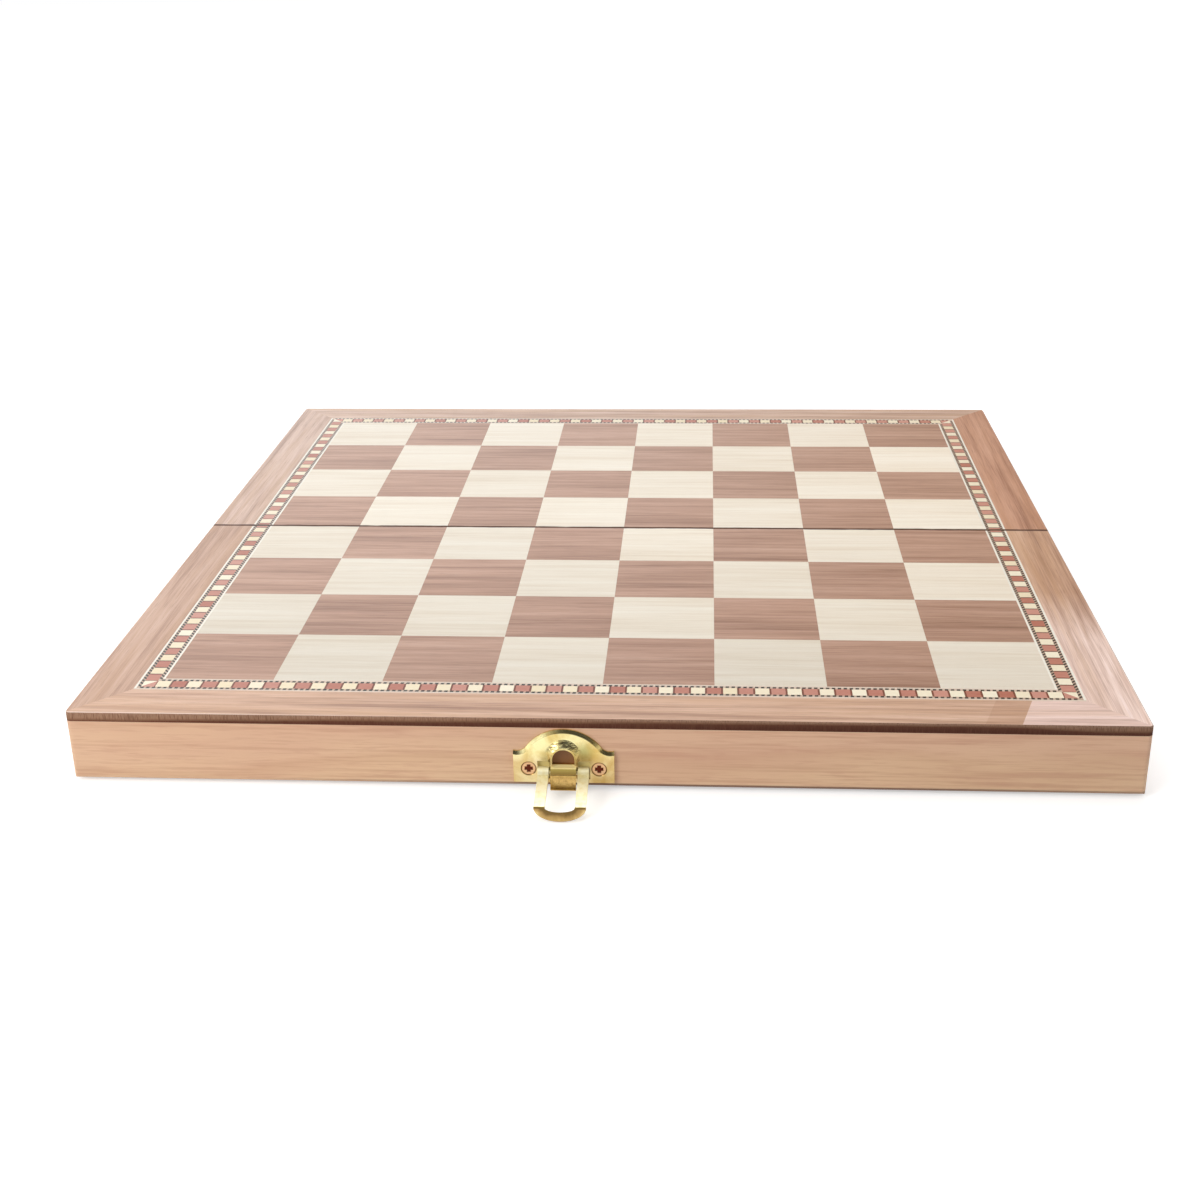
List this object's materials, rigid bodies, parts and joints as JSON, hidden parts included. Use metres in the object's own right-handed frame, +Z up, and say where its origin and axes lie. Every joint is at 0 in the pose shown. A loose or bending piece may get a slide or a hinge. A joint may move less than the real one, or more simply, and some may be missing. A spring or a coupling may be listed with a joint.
{
  "type": "folding chess board",
  "caption": "Wooden board of squares in two hinged tray halves that fold shut into a flat box, with an inlaid border and a brass loop clasp.",
  "frame": {"origin": "on the seam between the halves, halfway along it, in the plane of the rims that the open board stands on", "axes": "+X along the seam to the right, +Y from the clasp side to the catch side, +Z up out of the playing surface"},
  "size_m": [0.29, 0.3123, 0.0214],
  "materials": {
    "mdf": "raw sawn fibreboard edge, brown, matte",
    "frame_veneer": "pinkish straight-grained veneer under clear gloss lacquer",
    "inlay_band": "inlaid line of cream and red-brown tiles between dashed edges, lacquered",
    "dark_veneer": "pinkish brown straight-grained veneer under clear gloss lacquer",
    "light_veneer": "pale cream veneer under clear gloss lacquer",
    "pine": "pale planed softwood, satin",
    "lining": "thin plain veneer, satin",
    "dark_points": "thin dark brown veneer, satin",
    "light_points": "thin cream veneer, satin",
    "brass": "bright stamped brass, lightly brushed",
    "brass_screws": "brass-plated countersunk cross-head screws",
    "steel_pins": "drawn wire, bright"
  },
  "bodies": {
    "near_half": {"near_panel": "mdf", "near_frame_veneer": "frame_veneer", "near_inlay_band": "inlay_band", "near_dark_squares": "dark_veneer", "near_light_squares": "light_veneer", "near_front_wall": "pine", "near_left_wall": "pine", "near_right_wall": "pine", "near_hinge_wall": "pine", "near_field_lining": "lining", "near_dark_points": "dark_points", "near_light_points": "light_points", "near_hinge_leaf_left": "brass", "near_hinge_leaf_right": "brass", "near_hinge_screws": "brass_screws", "hinge_pin_left": "steel_pins", "hinge_pin_right": "steel_pins", "clasp_plate": "brass", "clasp_screws": "brass_screws"},
    "far_half": {"far_panel": "mdf", "far_frame_veneer": "frame_veneer", "far_inlay_band": "inlay_band", "far_dark_squares": "dark_veneer", "far_light_squares": "light_veneer", "far_rear_wall": "pine", "far_left_wall": "pine", "far_right_wall": "pine", "far_hinge_wall": "pine", "far_field_lining": "lining", "far_dark_points": "dark_points", "far_light_points": "light_points", "far_hinge_leaf_left": "brass", "far_hinge_leaf_right": "brass", "far_hinge_screws": "brass_screws", "catch_plate": "brass", "catch_screws": "brass_screws"},
    "clasp_loop": {"clasp_loop": "brass"}
  },
  "joints": [
    {"name": "fold", "type": "hinge", "parent": "near_half", "child": "far_half", "pos_m": [0, 0, -0.0001], "axis": [-1, 0, 0], "range_deg": [0, 180]},
    {"name": "loop_swing", "type": "hinge", "parent": "near_half", "child": "clasp_loop", "pos_m": [-0.0094, -0.14675, 0.00495], "axis": [1, 0, 0], "range_deg": [-95, 69]}
  ]
}
